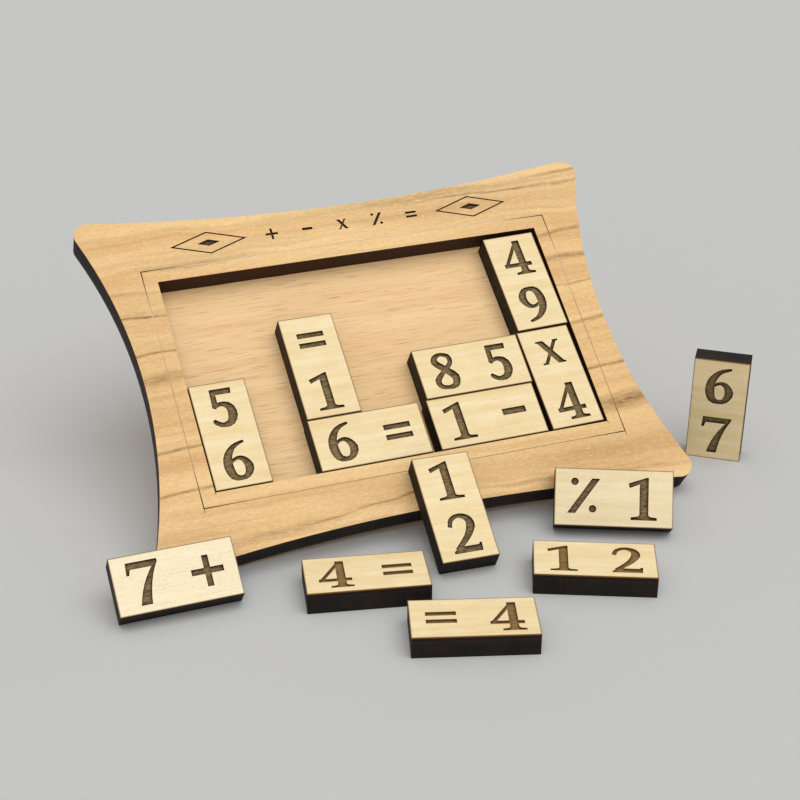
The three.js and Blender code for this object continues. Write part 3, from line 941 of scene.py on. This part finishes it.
@dataclass
class Tile:
    """One domino tile: a charred core with a maple face.

    Args:
        name: Its signs, as in the names of its solids.
        reading: How its signs are read.
        seed: Shifts its grain.
        painted_light: Painted light: how far its face is lifted towards cream to stand in for light falling
            on it, from 0 to 1.
        scorch: How brown its cut is, from 0 to 1; for the tiles in the tray the extra brown is painted
            reflection of the tray's wood.
        burn: How its signs are burnt; the lighter copy on the tiles lying on the table is painted light.
        long_mm: Its length.
        wide_mm: Its width.
        thick_mm: Its thickness.
        veneer_mm: Thickness of its face.
        core_top_mm: Height of its core's top, from the face.
        cut: Finish of its core.
    """

    name: str
    reading: Reading
    seed: float
    painted_light: float = 0.0
    scorch: float = 0.0
    burn: BurntEngraving = DEEP_BURN
    long_mm: float = 31.45
    wide_mm: float = 15.45
    thick_mm: float = 6.1
    veneer_mm: float = 1.0
    core_top_mm: float = -1.05
    cut: CharredPly = CharredPly()

    def place(self) -> Place:
        """Gives the tile's frame from its own solids, with the grain along the line of reading.

        Returns:
            The frame.
        """
        core, face = f"tile_{self.name}_core", f"tile_{self.name}_face"
        points = np.array([v.co for v in frame["nodes"][core].data.vertices], float)
        corners = np.unique(points.round(MICROMETRE), axis=0)
        axes = np.linalg.svd(corners - corners.mean(0))[2]
        up = (middle(face) - middle(core)).normalized()
        grain = Vector(axes[0] if self.reading is Reading.ALONG else axes[1])
        grain = (grain - up * grain.dot(up)).normalized()
        if grain.x < 0:
            grain.negate()
        return Place(middle(face) + up * self.veneer_mm / 2 * MM, grain, up)

    def dress(self) -> None:
        """Dresses the core and the face."""
        place = self.place()
        size = (self.long_mm, self.wide_mm)
        half_x, half_y = (s / 2 for s in (size if self.reading is Reading.ALONG else size[::-1]))
        veneer = MapleVeneer(self.burn)
        dress(f"tile_{self.name}_face", veneer.make(
            self.name, place, Rectangle(half_x, half_y), self.painted_light, self.seed))
        dress(f"tile_{self.name}_core", self.cut.make(
            self.name, place, self.core_top_mm, -self.thick_mm, self.scorch, self.seed))


@dataclass
class Studio:
    """A pale paper floor, one wide soft lamp overhead, even room light and the camera."""

    floor_colour: str = "#C6C6C4"
    floor_size: float = 40.0
    floor_roughness: float = 0.9
    floor_specular: float = 0.1
    room_colour: str = "#FFFFFF"
    room_level: float = 0.5
    backdrop_level: float = 1.0
    lamp_way: tuple[float, float, float] = (0.12, -0.36, 0.93)
    lamp_spread: float = 67.0
    lamp_level: float = 0.54
    eye: tuple[float, float, float] = (-0.1457, -0.3729, 0.2514)
    look_at: tuple[float, float, float] = (-0.0028, 0.0273, 0.0)
    lens_mm: float = 76.9
    sensor_mm: float = 36.0
    shift: tuple[float, float] = (0.0124, 0.0692)
    nearest: float = 0.01

    def build(self) -> None:
        """Builds floor, light and camera."""
        self.lay_floor()
        self.hang_lamp()
        self.light_room()
        self.set_camera()

    def lay_floor(self) -> None:
        """Lays a plain paper floor under the puzzle."""
        half = self.floor_size / 2
        corners = [(-half, -half, 0), (half, -half, 0), (half, half, 0), (-half, half, 0)]
        mesh = bpy.data.meshes.new("studio_floor")
        mesh.from_pydata(corners, [], [(0, 1, 2, 3)])
        floor = bpy.data.objects.new("studio_floor", mesh)
        bpy.context.scene.collection.objects.link(floor)
        material = bpy.data.materials.new("matt_paper_floor")
        material.use_nodes = True
        tree = material.node_tree
        tree.nodes.clear()
        shader = add_node(tree, Kind.SHADER, {
            "Base Color": linear(self.floor_colour), "Roughness": self.floor_roughness,
            "Specular IOR Level": self.floor_specular})
        add_node(tree, Kind.OUTPUT, {"Surface": shader})
        mesh.materials.append(material)

    def hang_lamp(self) -> None:
        """Hangs the lamp, whose light spreads wide enough for soft shadows."""
        way = Vector(self.lamp_way)
        lamp = bpy.data.lights.new("soft_lamp", "SUN")
        lamp.angle = math.radians(self.lamp_spread)
        lamp.energy = self.lamp_level * math.pi
        hung = bpy.data.objects.new("soft_lamp", lamp)
        bpy.context.scene.collection.objects.link(hung)
        hung.location = way
        hung.rotation_euler = way.to_track_quat("Z", "Y").to_euler()

    def light_room(self) -> None:
        """Sets the even light of the room, and a backdrop in the floor's colour."""
        world = bpy.data.worlds.new("room_light")
        bpy.context.scene.world = world
        world.use_nodes = True
        tree = world.node_tree
        tree.nodes.clear()
        room = add_node(tree, Kind.BACKGROUND, {
            "Color": linear(self.room_colour), "Strength": self.room_level})
        backdrop = add_node(tree, Kind.BACKGROUND, {
            "Color": linear(self.floor_colour), "Strength": self.backdrop_level})
        ray = add_node(tree, Kind.RAY).outputs
        seen = add_node(tree, Kind.MATH, {
            0: ray["Is Camera Ray"], 1: ray["Is Glossy Ray"]}, operation="MAXIMUM")
        seen = add_node(tree, Kind.MATH, {0: seen, 1: ray["Is Transmission Ray"]}, operation="MAXIMUM")
        both = add_node(tree, Kind.BLEND, {0: seen, 1: room, 2: backdrop})
        add_node(tree, Kind.WORLD, {"Surface": both})

    def set_camera(self) -> None:
        """Sets the camera where the photograph was taken from."""
        camera = bpy.data.cameras.new("camera")
        camera.lens = self.lens_mm
        camera.sensor_width = self.sensor_mm
        camera.shift_x, camera.shift_y = self.shift
        camera.clip_start = self.nearest
        seen = bpy.data.objects.new("camera", camera)
        bpy.context.scene.collection.objects.link(seen)
        eye = Vector(self.eye)
        seen.location = eye
        seen.rotation_euler = (Vector(self.look_at) - eye).to_track_quat("-Z", "Y").to_euler()
        bpy.context.scene.camera = seen


IN_TRAY_PAINTED_REFLECTION = 0.9  # painted reflection: a tile's cut is browner in the tray, standing in for the tray's brown wood reflected in it
TILES = (
    Tile("5_6", Reading.DOWN, 1.0, scorch=IN_TRAY_PAINTED_REFLECTION),
    Tile("6_equals", Reading.ALONG, 2.0, scorch=IN_TRAY_PAINTED_REFLECTION),
    Tile("equals_1", Reading.DOWN, 3.0, scorch=IN_TRAY_PAINTED_REFLECTION),
    Tile("1_minus", Reading.ALONG, 4.0, scorch=IN_TRAY_PAINTED_REFLECTION),
    Tile("8_5", Reading.ALONG, 5.0, scorch=IN_TRAY_PAINTED_REFLECTION),
    Tile("times_4", Reading.DOWN, 6.0, scorch=IN_TRAY_PAINTED_REFLECTION),
    Tile("4_9", Reading.DOWN, 7.0, scorch=IN_TRAY_PAINTED_REFLECTION),
    Tile("equals_4", Reading.ALONG, 8.0, burn=PAINTED_LIGHT_BURN),
    Tile("4_equals", Reading.ALONG, 9.0, burn=PAINTED_LIGHT_BURN),
    Tile("1_2_wide", Reading.ALONG, 10.0, burn=PAINTED_LIGHT_BURN),
    Tile("6_7", Reading.DOWN, 11.0),
    Tile("1_2_tall", Reading.DOWN, 12.0),
    # painted light: the faces of 7_plus and divide_1 are painted paler to stand in for light
    Tile("7_plus", Reading.ALONG, 13.0, painted_light=0.6),
    Tile("divide_1", Reading.ALONG, 14.0, painted_light=0.3),
)


def main() -> None:
    """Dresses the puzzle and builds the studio."""
    logging.basicConfig(level=logging.INFO, format="%(name)s: %(message)s")
    Tray().dress()
    for tile in TILES:
        tile.dress()
    Studio().build()
    bpy.context.scene.view_settings.view_transform = "Standard"


if __name__ == "__main__":
    main()
